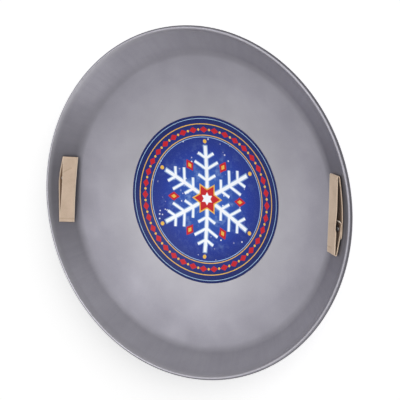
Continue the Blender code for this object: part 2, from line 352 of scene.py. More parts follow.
def turned_mesh(name, section, steps, closed=False):
    """The mesh that this section of (radius, height) points makes in one turn about Z."""
    mesh = bpy.data.meshes.new(name)
    bm = bmesh.new()
    verts = [bm.verts.new((radius, 0, height)) for radius, height in section]
    edges = [bm.edges.new(pair) for pair in zip(verts, verts[1:])]
    if closed:
        edges.append(bm.edges.new((verts[-1], verts[0])))
    bmesh.ops.spin(bm, geom=verts + edges, axis=(0, 0, 1), angle=math.tau, steps=steps, use_merge=True)
    bmesh.ops.remove_doubles(bm, verts=bm.verts, dist=MERGE_WITHIN)
    bmesh.ops.recalc_face_normals(bm, faces=bm.faces)
    bm.to_mesh(mesh)
    bm.free()
    return mesh


def drill(piece, place, radius, low, high):
    """Cuts a hole along place's Z axis and keeps the result as the piece's mesh."""
    mesh = bpy.data.meshes.new("drill")
    bm = bmesh.new()
    middle = Matrix.Translation((0, 0, (low + high) / 2))
    size = {"radius1": radius, "radius2": radius, "depth": high - low}
    bmesh.ops.create_cone(bm, cap_ends=True, segments=DRILL_FACETS, matrix=middle, **size)
    bm.to_mesh(mesh)
    bm.free()
    cutter = bpy.data.objects.new("drill", mesh)
    bpy.context.scene.collection.objects.link(cutter)
    cutter.matrix_world = place
    cut = piece.modifiers.new("drill", "BOOLEAN")
    cut.operation = "DIFFERENCE"
    cut.solver = "EXACT"
    cut.object = cutter
    bpy.context.view_layer.update()
    graph = bpy.context.evaluated_depsgraph_get()
    plain = piece.data
    piece.data = bpy.data.meshes.new_from_object(piece.evaluated_get(graph))
    piece.data.name = piece.name
    piece.modifiers.clear()
    bpy.data.objects.remove(cutter)
    bpy.data.meshes.remove(mesh)
    bpy.data.meshes.remove(plain)


print("helpers are ready")

# %% [markdown]
# ## The steel sheet's section
#
# The real dish is one pressing of 0.8 mm sheet. A press forms a flat pad to stand on, a
# spherical bowl, a short cone, a bend and a straight wall, and the edge is then rolled outwards
# into a bead, which stiffens the rim and hides the sheared edge. The section is drawn once as
# the line of the face that shows, and the back of the sheet is the same line moved over by the
# sheet's thickness. The rows are dense in the bends, where a coarse line would show as bands.

# %% Draw the section
RIM_DIAMETER = 660 * MM
SHEET = 0.8 * MM
PAD_DIAMETER = 60 * MM
BOWL_SPHERE_RADIUS = 660 * MM
BOWL_DIAMETER = 330 * MM
KNUCKLE_RADIUS = 39 * MM
WALL_LENGTH = 48 * MM
WALL_ANGLE = math.radians(43)
BEAD_RADIUS = 3.8 * MM
BEAD_PROUD = 1.7 * MM
BEAD_ROOT_RADIUS = 60 * MM
CURL_END_GAP = 0.6 * MM
BOWL_ROWS = 34
KNUCKLE_ROWS = 16
ROOT_ROWS = 12
ROLL_ROWS = 32
CONE_ANGLE = math.asin(BOWL_DIAMETER / 2 / BOWL_SPHERE_RADIUS)


def dish_height(radius):
    """Height of the sheet's inside at this radius: a flat pad, the bowl, then a cone."""
    bowl_edge = BOWL_DIAMETER / 2
    on_bowl = min(max(radius, PAD_DIAMETER / 2), bowl_edge)
    pad_drop = math.sqrt(BOWL_SPHERE_RADIUS**2 - (PAD_DIAMETER / 2) ** 2)
    bowl_rise = pad_drop - math.sqrt(BOWL_SPHERE_RADIUS**2 - on_bowl**2)
    return SHEET + bowl_rise + max(radius - bowl_edge, 0) * math.tan(CONE_ANGLE)


bead_off_wall = along(WALL_ANGLE - QUARTER, BEAD_RADIUS - BEAD_PROUD)
wall_run = along(WALL_ANGLE, WALL_LENGTH)
knuckle_in = along(CONE_ANGLE - QUARTER, KNUCKLE_RADIUS)
knuckle_out = along(WALL_ANGLE - QUARTER, KNUCKLE_RADIUS)
past_cone = (knuckle_out - knuckle_in + wall_run + bead_off_wall)[0]
cone_end = RIM_DIAMETER / 2 - BEAD_RADIUS - past_cone
knuckle_centre = np.array([cone_end, dish_height(cone_end)]) - knuckle_in
wall_start = knuckle_centre + knuckle_out
wall_end = wall_start + wall_run
bead_centre = wall_end + bead_off_wall
print("rim plane, mm:", round(bead_centre[1] / MM, 2))
print("wall starts at radius, mm:", round(wall_start[0] / MM, 2))


def bead_rows():
    """A long, gentle flare at the top of the wall, then the roll outwards and under."""
    root_height = BEAD_ROOT_RADIUS + BEAD_RADIUS - BEAD_PROUD
    root_reach = BEAD_ROOT_RADIUS + BEAD_RADIUS
    lean = math.acos(root_height / root_reach)
    setback = math.sqrt(root_reach**2 - root_height**2)
    root_centre = wall_end - along(WALL_ANGLE, setback) + along(WALL_ANGLE + QUARTER, BEAD_ROOT_RADIUS)
    down = WALL_ANGLE - QUARTER
    root = arc(root_centre, BEAD_ROOT_RADIUS, down, down + lean, ROOT_ROWS)
    under_wall = BEAD_RADIUS - BEAD_PROUD - SHEET - CURL_END_GAP
    end = WALL_ANGLE - math.pi - math.asin(under_wall / BEAD_RADIUS)
    roll = arc(bead_centre, BEAD_RADIUS, down + lean + math.pi, end, ROLL_ROWS)
    return [*root, *roll[1:]]


def behind(face, thickness):
    """The back of a sheet whose face is this line, from its far end to the axis."""
    face = np.array(face)
    run = np.gradient(face, axis=0)
    run /= np.linalg.norm(run, axis=1)[:, None]
    back = face + np.stack([run[:, 1], -run[:, 0]], axis=1) * thickness
    back[0] = (0, face[0][1] - thickness)
    return list(back[::-1])


bowl_radii = (0, *np.linspace(PAD_DIAMETER / 2, cone_end, BOWL_ROWS))
bowl = [np.array([radius, dish_height(radius)]) for radius in bowl_radii]
bend = arc(knuckle_centre, KNUCKLE_RADIUS, CONE_ANGLE - QUARTER, WALL_ANGLE - QUARTER, KNUCKLE_ROWS)
wall = [wall_start + wall_run * share for share in (0.2, 0.4, 0.6)]
sheet_face = [*bowl, *bend[1:], *wall, *bead_rows()]
print("rows on the face of the sheet:", len(sheet_face))

# %% [markdown]
# ## Satin steel
#
# The sheet is satin grey, a little mottled, and neither mirror-bright nor painted. Most of what
# the eye reads as metal is in how the gloss changes: cloudy patches a hand wide, fine grain, and
# marks where the press drew the wall, which run up it. Use adds light scuffs. The top of the
# bead is rubbed smoother, and is lighter with wear and a painted highlight. Painted light makes
# the wall just under the bead and the middle of the bowl lighter, and painted shade darkens the
# bead's outer side, the bend below the wall and the wall round the handles. Most of it comes
# from noise that is stretched in the right direction. Streaks up the wall come from reading the
# noise by the direction from the middle.

# %% The steel material
STEEL_DARK = (0.310, 0.301, 0.344)
STEEL_LIGHT = (0.404, 0.392, 0.440)
# a lighter steel, for rubbed wear and for painted light and highlights
STEEL_WORN_AND_LIT = (0.50, 0.49, 0.52)
# a dark steel colour that paints shade
STEEL_PAINTED_SHADE = (0.10, 0.096, 0.11)
STEEL_AT_GRAZING = (0.5, 0.5, 0.52)
STEEL_ROUGHNESS = 0.57
STREAKS_ROUND = 38
STREAKS_UP = 9
SCUFFS_LONG_WAY = (60, 900, 60)
SCUFFS_CROSS_WAY = (700, 45, 60)

steel, tree, shader = new_material("satin_steel")
place = object_place(tree)
x, y, z = split(place)
radius = (x * x + y * y) ** 0.5
clouds = noise(tree, place, 16, detail=4, roughness=0.55).rise(0.32, 0.68)
grain = noise(tree, place, 700, detail=2)
out_x, out_y = (part / radius * STREAKS_ROUND for part in (x, y))
round_the_dish = tree.node("ShaderNodeCombineXYZ", {0: out_x, 1: out_y, 2: radius * STREAKS_UP})
drawn = noise(tree, round_the_dish, 1, detail=4, roughness=0.6)
on_wall = radius.rise(cone_end, wall_start[0])
long_way = tree.node("ShaderNodeVectorMath", {0: place, 1: SCUFFS_LONG_WAY}, operation="MULTIPLY")
cross_way = tree.node("ShaderNodeVectorMath", {0: place, 1: SCUFFS_CROSS_WAY}, operation="MULTIPLY")
scuffs = noise(tree, long_way, 1, detail=1).rise(0.66, 0.78)
scuffs = scuffs + noise(tree, cross_way, 1, detail=1).rise(0.68, 0.8)
scuffs = scuffs * noise(tree, place, 9, detail=2).rise(0.45, 0.65)
tone = clouds * 0.35 + grain.rise(0.3, 0.7) * 0.3 + drawn.rise(0.3, 0.7) * on_wall * 0.25 + 0.1
print("plain steel nodes:", len(tree.tree.nodes))

# %% Wear, painted light and painted shade on the steel
# each pair is where a mark starts and where it is full, for wear and painted light and shade alike
# the top of the bead, which is rubbed and also gets a painted highlight
RUBBED_AND_LIT = (bead_centre[1] - 2 * MM, bead_centre[1] + 1 * MM)
# the wall just under the bead, made lighter with painted light
PAINTED_LIGHT_SHOULDER = (wall_end[0] - 9 * MM, wall_end[0] - 2 * MM)
PAINTED_LIGHT_SHOULDER_END = (bead_centre[0], wall_end[0])
# the middle of the bowl, made lighter with painted light
PAINTED_LIGHT_MIDDLE = (240 * MM, 165 * MM)
# the bend below the wall, darkened with painted shade
BEND_SHADE_INSIDE = (228 * MM, 272 * MM)
BEND_SHADE_OUTSIDE = (296 * MM, 280 * MM)
# the bead's outer side, darkened with painted shade
FLANK_SHADE = (bead_centre[0] + BEAD_RADIUS * 0.05, bead_centre[0] + BEAD_RADIUS * 0.75)
# the wall round the handles, darkened with painted shade
STRAP_SHADE_MIDDLE = 20 * MM
STRAP_SHADE = (190 * MM, 30 * MM)
STRAP_SHADE_TOP = (wall_end[0], wall_end[0] - 6 * MM)

# the top of the bead: rubbed wear, which also makes it smoother, and a painted highlight
rubbed_and_highlight = noise(tree, place, 130).rise(0.3, 0.6) * 0.4 + 0.6
rubbed_and_highlight = rubbed_and_highlight * z.rise(*RUBBED_AND_LIT)
# where it is, how strong it is and its colour
wear_and_painted_shading = (
    (scuffs, 0.25, STEEL_WORN_AND_LIT),
    # the top of the bead: rubbed wear and a painted highlight
    (rubbed_and_highlight, 0.15, STEEL_WORN_AND_LIT),
    # painted light on the wall just under the bead
    (radius.rise(*PAINTED_LIGHT_SHOULDER) * radius.rise(*PAINTED_LIGHT_SHOULDER_END), 0.5, STEEL_WORN_AND_LIT),
    # painted light on the middle of the bowl
    (radius.rise(*PAINTED_LIGHT_MIDDLE), 0.5, STEEL_WORN_AND_LIT),
    # painted shade in the bend below the wall
    (radius.rise(*BEND_SHADE_INSIDE) * radius.rise(*BEND_SHADE_OUTSIDE), 0.17, STEEL_PAINTED_SHADE),
    # painted shade on the bead's outer side
    (radius.rise(*FLANK_SHADE), 0.8, STEEL_PAINTED_SHADE),
    # painted shade on the wall round the handles
    (abs(y - STRAP_SHADE_MIDDLE).rise(*STRAP_SHADE) * on_wall * radius.rise(*STRAP_SHADE_TOP), 0.55, STEEL_PAINTED_SHADE),
)
colour = tone.tint(STEEL_DARK, STEEL_LIGHT)
for where, strength, mark_colour in wear_and_painted_shading:
    colour = (where * strength).tint(colour, mark_colour)
gloss = STEEL_ROUGHNESS - clouds * 0.05 + grain * 0.05 - rubbed_and_highlight * 0.12 + scuffs * 0.05
dents = bump(tree, noise(tree, place, 22, detail=2), 0.5 * MM)
peel = bump(tree, grain + drawn * on_wall * 2 - scuffs * 0.4, 0.02 * MM, below=dents)
feed(shader, Base_Color=colour, Roughness=gloss, Metallic=0.9, Specular_Tint=STEEL_AT_GRAZING, Normal=peel)
print("steel nodes:", len(tree.tree.nodes))

# %% Make the dish
DISH_STEPS = 288

dish_mesh = turned_mesh("dish", [*sheet_face, *behind(sheet_face, SHEET)], DISH_STEPS)
dish = add_piece("dish_sheet", dish_mesh, steel, "sheet_steel", "dish", "saucer_shell")
print("dish faces:", len(dish.data.polygons))

# %% [markdown]
# ## The label
#
# A round of printed vinyl is stuck in the middle of the bowl. It is thinner than a card, so
# only its edge catches light, but it is glossy where the steel is satin. The film is a turned
# sheet too, a hair above the bowl, with a rounded edge.
#
# The print is a generic winter design: a snowflake with side branches over a blue that darkens
# outwards, a star in its middle, red jewels between its arms, and a border of red diamonds and
# gold dots. Nothing is painted from an image. Each figure is a distance, and a mask is where
# that distance is small. The snowflake's six arms are one arm: the angle is folded like paper
# until all arms lie together.

# %% The film
LABEL_DIAMETER = 325 * MM
LABEL_FILM = 0.25 * MM
LABEL_BED = 0.3 * MM
FILM_ROWS = 24
FILM_EDGE_ROWS = 6

edge_radius = LABEL_DIAMETER / 2
film_radii = (0, *np.linspace(PAD_DIAMETER / 2, edge_radius - LABEL_FILM / 2, FILM_ROWS))
film_top = [np.array([radius, dish_height(radius) + LABEL_BED + LABEL_FILM]) for radius in film_radii]
film_middle = np.array([edge_radius - LABEL_FILM / 2, film_top[-1][1] - LABEL_FILM / 2])
film_edge = arc(film_middle, LABEL_FILM / 2, QUARTER, -QUARTER, FILM_EDGE_ROWS)
film_under = [point - (0, LABEL_FILM) for point in film_top[::-1]]
film_mesh = turned_mesh("label_film", [*film_top, *film_edge[1:-1], *film_under], DISH_STEPS)
print("label faces:", len(film_mesh.polygons))

# %% Masks for the print
SOFT = 0.5 * MM
ON_ARMS = math.radians(90)
BETWEEN_ARMS = math.radians(60)
BRANCH_LEAN = math.radians(60)
# each side branch leaves its arm this far out, and is this long
BRANCHES = ((36 * MM, 22 * MM), (58 * MM, 30 * MM), (80 * MM, 20 * MM))

printed, tree, shader = new_material("printed_film")
place = object_place(tree)
x, y, _ = split(place)
radius = (x * x + y * y) ** 0.5
angle = y.maths("ARCTAN2", x)


def fold(count, turn):
    """The angle from the nearest of this many spokes, always positive, in radians."""
    share = ((angle - turn) * (count / math.tau) + 0.5).maths("FRACT") - 0.5
    return abs(share) * (math.tau / count)


def ring(at, width):
    """A ring at this radius."""
    return abs(radius - at).below(width / 2, SOFT)


def snowflake(width, branch_width, reach):
    """Six arms with side branches, drawn this wide and this far out."""
    sixth = fold(6, turn=ON_ARMS)
    out = radius * sixth.maths("COSINE")
    side = radius * sixth.maths("SINE")
    figure = side.below(width / 2, SOFT) * out.below(reach, SOFT)
    lean_out, lean_aside = math.cos(BRANCH_LEAN), math.sin(BRANCH_LEAN)
    for start, length in BRANCHES:
        off = abs((out - start) * lean_aside - side * lean_out).below(branch_width / 2, SOFT)
        run = (out - start) * lean_out + side * lean_aside
        figure = figure.maths("MAXIMUM", off * run.below(length, SOFT))
    return figure


def star(reach, turn):
    """A six-pointed star with points this far out."""
    sixth = fold(6, turn)
    out = radius * sixth.maths("COSINE")
    side = radius * sixth.maths("SINE")
    return (out * 0.5 + side * (math.sqrt(3) / 2)).below(reach / 2, SOFT)


def diamonds(at, count, half_sizes, turn=0.0):
    """Diamonds on a ring, each with these half sizes round the ring and outwards."""
    aside = fold(count, turn) * at
    return (aside / half_sizes[0] + abs(radius - at) / half_sizes[1]).below(1, SOFT / half_sizes[1])


def dots(at, count, size, turn):
    """Round dots on a ring."""
    aside = fold(count, turn) * at
    outward = radius - at
    return ((aside * aside + outward * outward) ** 0.5).below(size, SOFT)


print("masks are ready, for an edge this soft, mm:", SOFT / MM)

# %% Print the label
NAVY = (0.008, 0.016, 0.10)
ROYAL = (0.013, 0.035, 0.27)
BRIGHT_BLUE = (0.03, 0.11, 0.44)
ICE = (0.42, 0.62, 0.86)
WHITE = (0.80, 0.82, 0.86)
RED = (0.48, 0.012, 0.02)
GOLD = (0.72, 0.42, 0.07)
# where the colour starts and where it is full, from the middle
ROYAL_BLUE = (10 * MM, 95 * MM)
NAVY_BLUE = (90 * MM, 160 * MM)
FROST = (120 * MM, 40 * MM)
SNOW_REACH = 124 * MM
ARM_LENGTH = 104 * MM
ARM_WIDTH = 6.5 * MM
BRANCH_WIDTH = 4.5 * MM
# the halo is this much longer than the snowflake, and its arms and branches this much wider
HALO_LONGER = 2 * MM
HALO_ARMS = 4 * MM
HALO_BRANCHES = 3 * MM
GOLD_STAR = 34 * MM
RED_STAR = 29 * MM
WHITE_STAR = 13 * MM
TIP_RADIUS = 113 * MM
TIP_DOT = 4 * MM
JEWEL_RADIUS = 74 * MM
JEWEL = (9 * MM, 13 * MM)
JEWEL_HEART = (4 * MM, 6 * MM)
BORDER_RADIUS = 136 * MM
BORDER_COUNT = 36
BORDER_HALF_STEP = math.pi / BORDER_COUNT
BORDER_LINE = 11 * MM
GOLD_LINE = 1.6 * MM
INNER_LINE = 14.5 * MM
INNER_LINE_WIDTH = 0.9 * MM
EDGE_LINE = 5 * MM
EDGE_LINE_WIDTH = 0.8 * MM
DIAMOND = (9 * MM, 6 * MM)
DOT = 2.4 * MM

blue = radius.rise(*ROYAL_BLUE).tint(BRIGHT_BLUE, ROYAL)
blue = radius.rise(*NAVY_BLUE).tint(blue, NAVY)
frost = noise(tree, place, 60, detail=5, roughness=0.6).rise(0.52, 0.8) * radius.rise(*FROST)
flakes = tree.node("ShaderNodeTexVoronoi", {"Vector": place, "Scale": 90}, feature="F1")
snow = flakes.below(0.16, 0.08) * noise(tree, place, 40).rise(0.5, 0.56) * radius.below(SNOW_REACH, SOFT)
halo = snowflake(ARM_WIDTH + HALO_ARMS, BRANCH_WIDTH + HALO_BRANCHES, ARM_LENGTH + HALO_LONGER)
# from the first ink printed to the last
inks = (
    (frost * 0.5, ICE),
    (snow * 0.8, WHITE),
    (halo * 0.55, ICE),
    (snowflake(ARM_WIDTH, BRANCH_WIDTH, ARM_LENGTH), WHITE),
    (dots(TIP_RADIUS, 6, TIP_DOT, turn=ON_ARMS), GOLD),
    (diamonds(JEWEL_RADIUS, 6, JEWEL, turn=BETWEEN_ARMS), RED),
    (diamonds(JEWEL_RADIUS, 6, JEWEL_HEART, turn=BETWEEN_ARMS), GOLD),
    (star(GOLD_STAR, turn=BETWEEN_ARMS), GOLD),
    (star(RED_STAR, turn=BETWEEN_ARMS), RED),
    (star(WHITE_STAR, turn=ON_ARMS), WHITE),
    (diamonds(BORDER_RADIUS, BORDER_COUNT, DIAMOND), RED),
    (dots(BORDER_RADIUS, BORDER_COUNT, DOT, turn=BORDER_HALF_STEP), GOLD),
    (ring(BORDER_RADIUS - BORDER_LINE, GOLD_LINE), GOLD),
    (ring(BORDER_RADIUS + BORDER_LINE, GOLD_LINE), GOLD),
    (ring(BORDER_RADIUS - INNER_LINE, INNER_LINE_WIDTH), ICE),
    (ring(edge_radius - EDGE_LINE, EDGE_LINE_WIDTH), ICE),
)
colour = blue
for mask, ink in inks:
    colour = mask.tint(colour, ink)

press = noise(tree, place, 900, detail=1)
ripple = noise(tree, place, 14, detail=1)
film_bump = bump(tree, ripple + press * 0.01, 0.6 * MM)
feed(shader, Base_Color=colour, Roughness=0.22 + press * 0.1, Specular_IOR_Level=0.15, Normal=film_bump)
add_piece("label_film", film_mesh, printed, "printed_film", "dish", "centre_label")
print("print nodes:", len(tree.tree.nodes))

# %% [markdown]
# ## The handles' places
#
# Each handle has a frame of its own: its origin is on the wall at the rivet, X goes up the wall,
# Y goes along the strap to its far fold, and Z stands off the wall. Modelling in that frame
# keeps the numbers small, and both handles are then the same piece in two places.

# %% The two frames
LOOP_LENGTH = 135 * MM
RIVET_TO_NEAR_FOLD = 44.8 * MM
RIVET_BELOW_RIM = 19.6 * MM
HANDLES_OFF_DIAMETER = 6.3 * MM

rivet_height = bead_centre[1] - RIVET_BELOW_RIM
rivet_radius = (wall_end + along(WALL_ANGLE, (rivet_height - wall_end[1]) / math.sin(WALL_ANGLE)))[0]


def handle_frame(azimuth):
    """The frame of a handle whose rivet is in this direction from the middle."""
    up_wall = Vector((math.cos(WALL_ANGLE), 0, math.sin(WALL_ANGLE)))
    off_wall = Vector((-math.sin(WALL_ANGLE), 0, math.cos(WALL_ANGLE)))
    tilt = Matrix((up_wall, Vector((0, 1, 0)), off_wall)).transposed().to_4x4()
    place = Matrix.Translation((rivet_radius, 0, rivet_height))
    return Matrix.Rotation(azimuth, 4, "Z") @ place @ tilt


loop_middle = LOOP_LENGTH / 2 - RIVET_TO_NEAR_FOLD
frames = {
    "right": handle_frame(math.asin((HANDLES_OFF_DIAMETER - loop_middle) / rivet_radius)),
    "left": handle_frame(math.pi - math.asin((HANDLES_OFF_DIAMETER + loop_middle) / rivet_radius)),
}
for side, place in frames.items():
    print(side, "rivet at, mm:", [round(value / MM, 1) for value in place.translation])

# %% [markdown]
# ## The webbing's line
#
# A handle is one length of flat cotton webbing, about 300 mm long. Its outer end lies on the
# wall, the webbing folds back at the far end, runs straight as the grip, folds again, and its
# inner end laps over the outer one and curls up behind the rivet. A cloth simulation can't do
# this well, because it loses the crisp folds, so the middle line is built from arcs and eased
# climbs, and a flat section is swept along it.
#
# No two handles are folded alike. The right one is a little longer at both folds, which gape
# more, its far fold lies further up the wall, its grip sags towards the wall, and its inner end
# curls up more. So each side has its own few values, by name.

# %% The line through the middle of the webbing
WEB_WIDTH = 31 * MM
WEB_THICKNESS = 1.6 * MM
LAP_CLEARANCE = 0.65 * MM
FAR_CLEARANCE = 0.6 * MM
LAP_GAP = 0.2 * MM
OUTER_LAP = 18 * MM
INNER_LAP = 14 * MM
CURL_LENGTH = 6 * MM
LAP_STEP = 4 * MM
GRIP_SKEW = 5.5 * MM
RIVET_OFF_MIDDLE = 5 * MM
OUTER_ROWS = 61
FOLD_ROWS = 14
GRIP_ROWS = 100
INNER_ROWS = 36
CURL_ROWS = 14
# each fold is this much longer, gapes this far, clears the dish by this much and lies this far
# down the wall
FOLDS = {
    "right": {
        "near_more": 2.5 * MM, "near_gape": 1.6 * MM, "near_down": GRIP_SKEW, "near_clearance": 1.3 * MM,
        "far_more": 1.3 * MM, "far_gape": 1.6 * MM, "far_down": 2.5 * MM,
        "sag": 0.8 * MM, "curl_rise": 3.2 * MM,
    },
    "left": {
        "near_more": 0.0, "near_gape": 0.4 * MM, "near_down": GRIP_SKEW, "near_clearance": 1.6 * MM,
        "far_more": 0.3 * MM, "far_gape": 0.4 * MM, "far_down": GRIP_SKEW,
        "sag": 0.0, "curl_rise": 1.0 * MM,
    },
}

rivet_up_wall = (rivet_height - wall_start[1]) / math.sin(WALL_ANGLE)
lap_low_edge = RIVET_OFF_MIDDLE + WEB_WIDTH / 2
grip_low_edge = lap_low_edge + GRIP_SKEW
wall_bend = (rivet_radius - grip_low_edge * math.cos(WALL_ANGLE)) / math.sin(WALL_ANGLE)
far_fold = LOOP_LENGTH - RIVET_TO_NEAR_FOLD


def knuckle_rise(low_edge):
    """How far the bend below the wall comes up under a strap that reaches this far down."""
    overhang = max(low_edge - rivet_up_wall, 0)
    return KNUCKLE_RADIUS - math.sqrt(KNUCKLE_RADIUS**2 - overhang**2)


def wall_rise(place):
    """How far the curved wall comes up towards the strap, this far from the rivet."""
    return wall_bend - math.sqrt(wall_bend**2 - place**2)


lap_seat = LAP_CLEARANCE + knuckle_rise(lap_low_edge)
far_seat = FAR_CLEARANCE + knuckle_rise(grip_low_edge)
lap_lay = lap_seat + WEB_THICKNESS + LAP_GAP + WEB_THICKNESS / 2
lap_top = lap_lay + WEB_THICKNESS / 2


def webbing_line(
    near_more, near_gape, near_down, near_clearance, far_more, far_gape, far_down, sag, curl_rise
):
    """Rows of (up the wall, along the strap, off the wall), and where on the grip each one is.

    The place on the grip is 0 at the far fold and 1 at the near one, and -1 off the grip.
    """
    far_radius = (WEB_THICKNESS + far_gape) / 2
    far_end = far_fold + far_more - far_radius - WEB_THICKNESS / 2
    outer = []
    for place in np.linspace(-OUTER_LAP, far_end, OUTER_ROWS):
        lay = lap_seat + (far_seat - lap_seat) * ease((place - INNER_LAP) / (far_end - INNER_LAP))
        outer.append(np.array([place, wall_rise(place) + lay + WEB_THICKNESS / 2]))
    far_lean = math.asin(far_end / wall_bend)
    far_centre = outer[-1] + along(far_lean + QUARTER, far_radius)

    near_radius = (WEB_THICKNESS + near_gape) / 2
    near_end = near_radius + WEB_THICKNESS / 2 - RIVET_TO_NEAR_FOLD - near_more
    near_lay = near_clearance + knuckle_rise(grip_low_edge) + WEB_THICKNESS / 2
    near_lean = math.asin(near_end / wall_bend)
    near_foot = np.array([near_end, wall_rise(near_end) + near_lay])
    near_centre = near_foot + along(near_lean + QUARTER, near_radius)

    run = far_centre - near_centre
    lean = math.atan2(run[1], run[0])
    round_far = arc(far_centre, far_radius, far_lean - QUARTER, lean + QUARTER, FOLD_ROWS)
    round_near = arc(near_centre, near_radius, lean + QUARTER, near_lean + QUARTER + math.pi, FOLD_ROWS)
    shares = np.linspace(0, 1, GRIP_ROWS)
    grip = [round_far[-1] + (round_near[0] - round_far[-1]) * share for share in shares]
    grip = [point - np.array([0, sag * math.sin(math.pi * share)]) for point, share in zip(grip, shares)]

    inner = []
    curl_start = INNER_LAP - CURL_LENGTH
    to_curl = np.linspace(near_end, curl_start, INNER_ROWS)[1:]
    over_curl = np.linspace(curl_start, INNER_LAP, CURL_ROWS)[1:]
    for place in (*to_curl, *over_curl):
        climb = ease((place - near_end) / (-OUTER_LAP - LAP_STEP - near_end))
        lay = near_lay + (lap_lay - near_lay) * climb
        curl = max(place - curl_start, 0) / CURL_LENGTH
        inner.append(np.array([place, wall_rise(place) + lay + curl_rise * curl**2]))

    rows = [(-far_down * point[0] / far_fold, *point, -1) for point in outer]
    rows += [(-far_down, *point, -1) for point in round_far[1:-1]]
    for point, share in zip(grip, shares):
        rows.append((-far_down + (far_down - near_down) * share, *point, share))
    rows += [(-near_down, *point, -1) for point in round_near[1:]]
    rows += [(near_down * point[0] / RIVET_TO_NEAR_FOLD, *point, -1) for point in inner]
    rows = np.array(rows)
    rows[:, 0] -= RIVET_OFF_MIDDLE
    return rows[:, :3], rows[:, 3]


def lengths_along(line):
    """How far along the webbing each row is."""
    return np.concatenate([[0], np.cumsum(np.linalg.norm(np.diff(line, axis=0), axis=1))])


lines = {side: webbing_line(**values) for side, values in FOLDS.items()}
for side, (line, on_grip) in lines.items():
    print(side, "webbing length, mm:", round(lengths_along(line)[-1] / MM, 1), " rows:", len(line))

# %% [markdown]
# ## Cotton webbing
#
# Cotton webbing has ribs along its length, a tight selvedge at each edge, and crossing threads
# that show as small steps on each rib. Each vertex keeps its place on the flat webbing, how far
# along it and how far across, so the weave follows every fold and never swims. Three more
# numbers say how far off the nearer cut end is, how much painted shade falls inside the loop
# and where a crease runs. Painted shade darkens the inside of the loop and the creases. Threads
# fray and are paler at a cut end, but only towards its high edge: the low part of the cut is
# kept darker as painted shade.

# %% The webbing material
RIB_PITCH = 1.9 * MM
PICK_PITCH = 1.3 * MM
SELVEDGE = 2.2 * MM
COTTON = (0.69, 0.54, 0.415)
COTTON_SHADE = (0.40, 0.285, 0.20)
COTTON_PALE = (0.78, 0.66, 0.53)
COTTON_FRAYED = (0.80, 0.74, 0.66)
# the dark colour of the painted shade inside the loop
COTTON_INSIDE_SHADE = (0.11, 0.055, 0.025)
WEBBING_NUMBERS = ("across", "along", "to_cut", "inside", "crease")
GROOVE_HALF_WIDTH = 0.35 * MM
GROOVE_EDGE = 0.3 * MM
FRAYED_LENGTH = 1.2 * MM
# where across the webbing the pale fraying starts and where it is full; below that the cut end is kept
# darker as painted shade
FRAYED_LIT_ACROSS = (2 * MM, 8 * MM)
selvedge_at = WEB_WIDTH / 2 - SELVEDGE

webbing, tree, shader = new_material("cotton_webbing")
place = object_place(tree)
across, length_way, to_cut, inside, crease = (
    tree.node("ShaderNodeAttribute", output="Fac", attribute_name=name) for name in WEBBING_NUMBERS
)
rib = abs((across * (math.pi / RIB_PITCH)).maths("SINE"))
odd = (across * (0.5 / RIB_PITCH)).maths("FRACT").rise(0.49, 0.51)
pick = abs(((length_way / PICK_PITCH + odd * 0.5) * math.pi).maths("SINE"))
selvedge = abs(across).rise(selvedge_at - 0.4 * MM, selvedge_at)
groove = abs(abs(across) - selvedge_at).below(GROOVE_HALF_WIDTH, GROOVE_EDGE)
low_edge = across.rise(1 * MM, -1 * MM)
frayed = to_cut.below(FRAYED_LENGTH, FRAYED_LENGTH)
weave = rib ** 0.6 * (0.55 + pick * 0.45)
fibres = noise(tree, place, 1600, detail=3)
soiling = noise(tree, place, 45, detail=4, roughness=0.6)
tone = weave.rise(0.1, 0.9) * 0.75 + fibres * 0.35 + soiling.rise(0.35, 0.65) * 0.25 - 0.12
colour = tone.tint(COTTON_SHADE, COTTON)
for where, shade in (
    (selvedge * (0.15 + low_edge * 0.45), COTTON_PALE),
    (groove * (0.2 + low_edge * 0.4), COTTON_SHADE),
    (crease * 0.5, COTTON_SHADE),
    # painted shade inside the loop
    (inside * 0.9, COTTON_INSIDE_SHADE),
    # pale frayed threads at the cut end, kept to its high edge, with the rest of the cut left darker as
    # painted shade
    (frayed * across.rise(*FRAYED_LIT_ACROSS) * 0.9, COTTON_FRAYED),
):
    colour = where.tint(colour, shade)
cloth = bump(tree, weave * (1 - selvedge * 0.6) + fibres * 0.3 - groove * 0.5, 0.35 * MM)
feed(shader, Base_Color=colour, Roughness=0.92, Sheen_Weight=0.12, Sheen_Roughness=0.4, Normal=cloth)
print("webbing nodes:", len(tree.tree.nodes))

# %% [markdown]
# The section is a flat strip with full, round edges. It is carried along the line with its
# width kept square to the strap. Between its folds the grip isn't held by anything, so it cups
# across its width, and its high edge lifts towards the rivet and kinks back just past it. Old
# creases are shallow grooves along a line on the flat webbing. The cut ends have worn corners,
# which is why they don't stick out beside the grip. The left grip is a little narrower in its
# middle, where hands have pulled it.


# %% The webbing's section and marks of use
STRIP_ROWS = 19
STRIP_EDGE_ROWS = 6
KINK_REACH = 48 * MM
KINK_RETURN = 7 * MM
CREASE_WIDTH = 2.2 * MM
CREASE_DEPTH = 0.35 * MM
# the share of the grip's length at each fold that the fold still holds flat
FREE_AFTER = 0.12
# the share of the selvedge, from the edge in, that the painted shade inside the loop leaves out
SHADE_FREE_EDGE = 0.3


def strip_section():
    """Points round the webbing's section: (across, through), from the low edge over the face."""
    half = WEB_WIDTH / 2
    edge = WEB_THICKNESS / 2
    flat = np.linspace(edge - half, half - edge, STRIP_ROWS)
    face = [(value, edge) for value in flat]
    high_edge = arc((half - edge, 0), edge, QUARTER, -QUARTER, STRIP_EDGE_ROWS)[1:-1]
    back = [(value, -edge) for value in flat[::-1]]
    low_edge = arc((edge - half, 0), edge, -QUARTER, -QUARTER - math.pi, STRIP_EDGE_ROWS)[1:-1]
    return np.array([*face, *high_edge, *back, *low_edge])


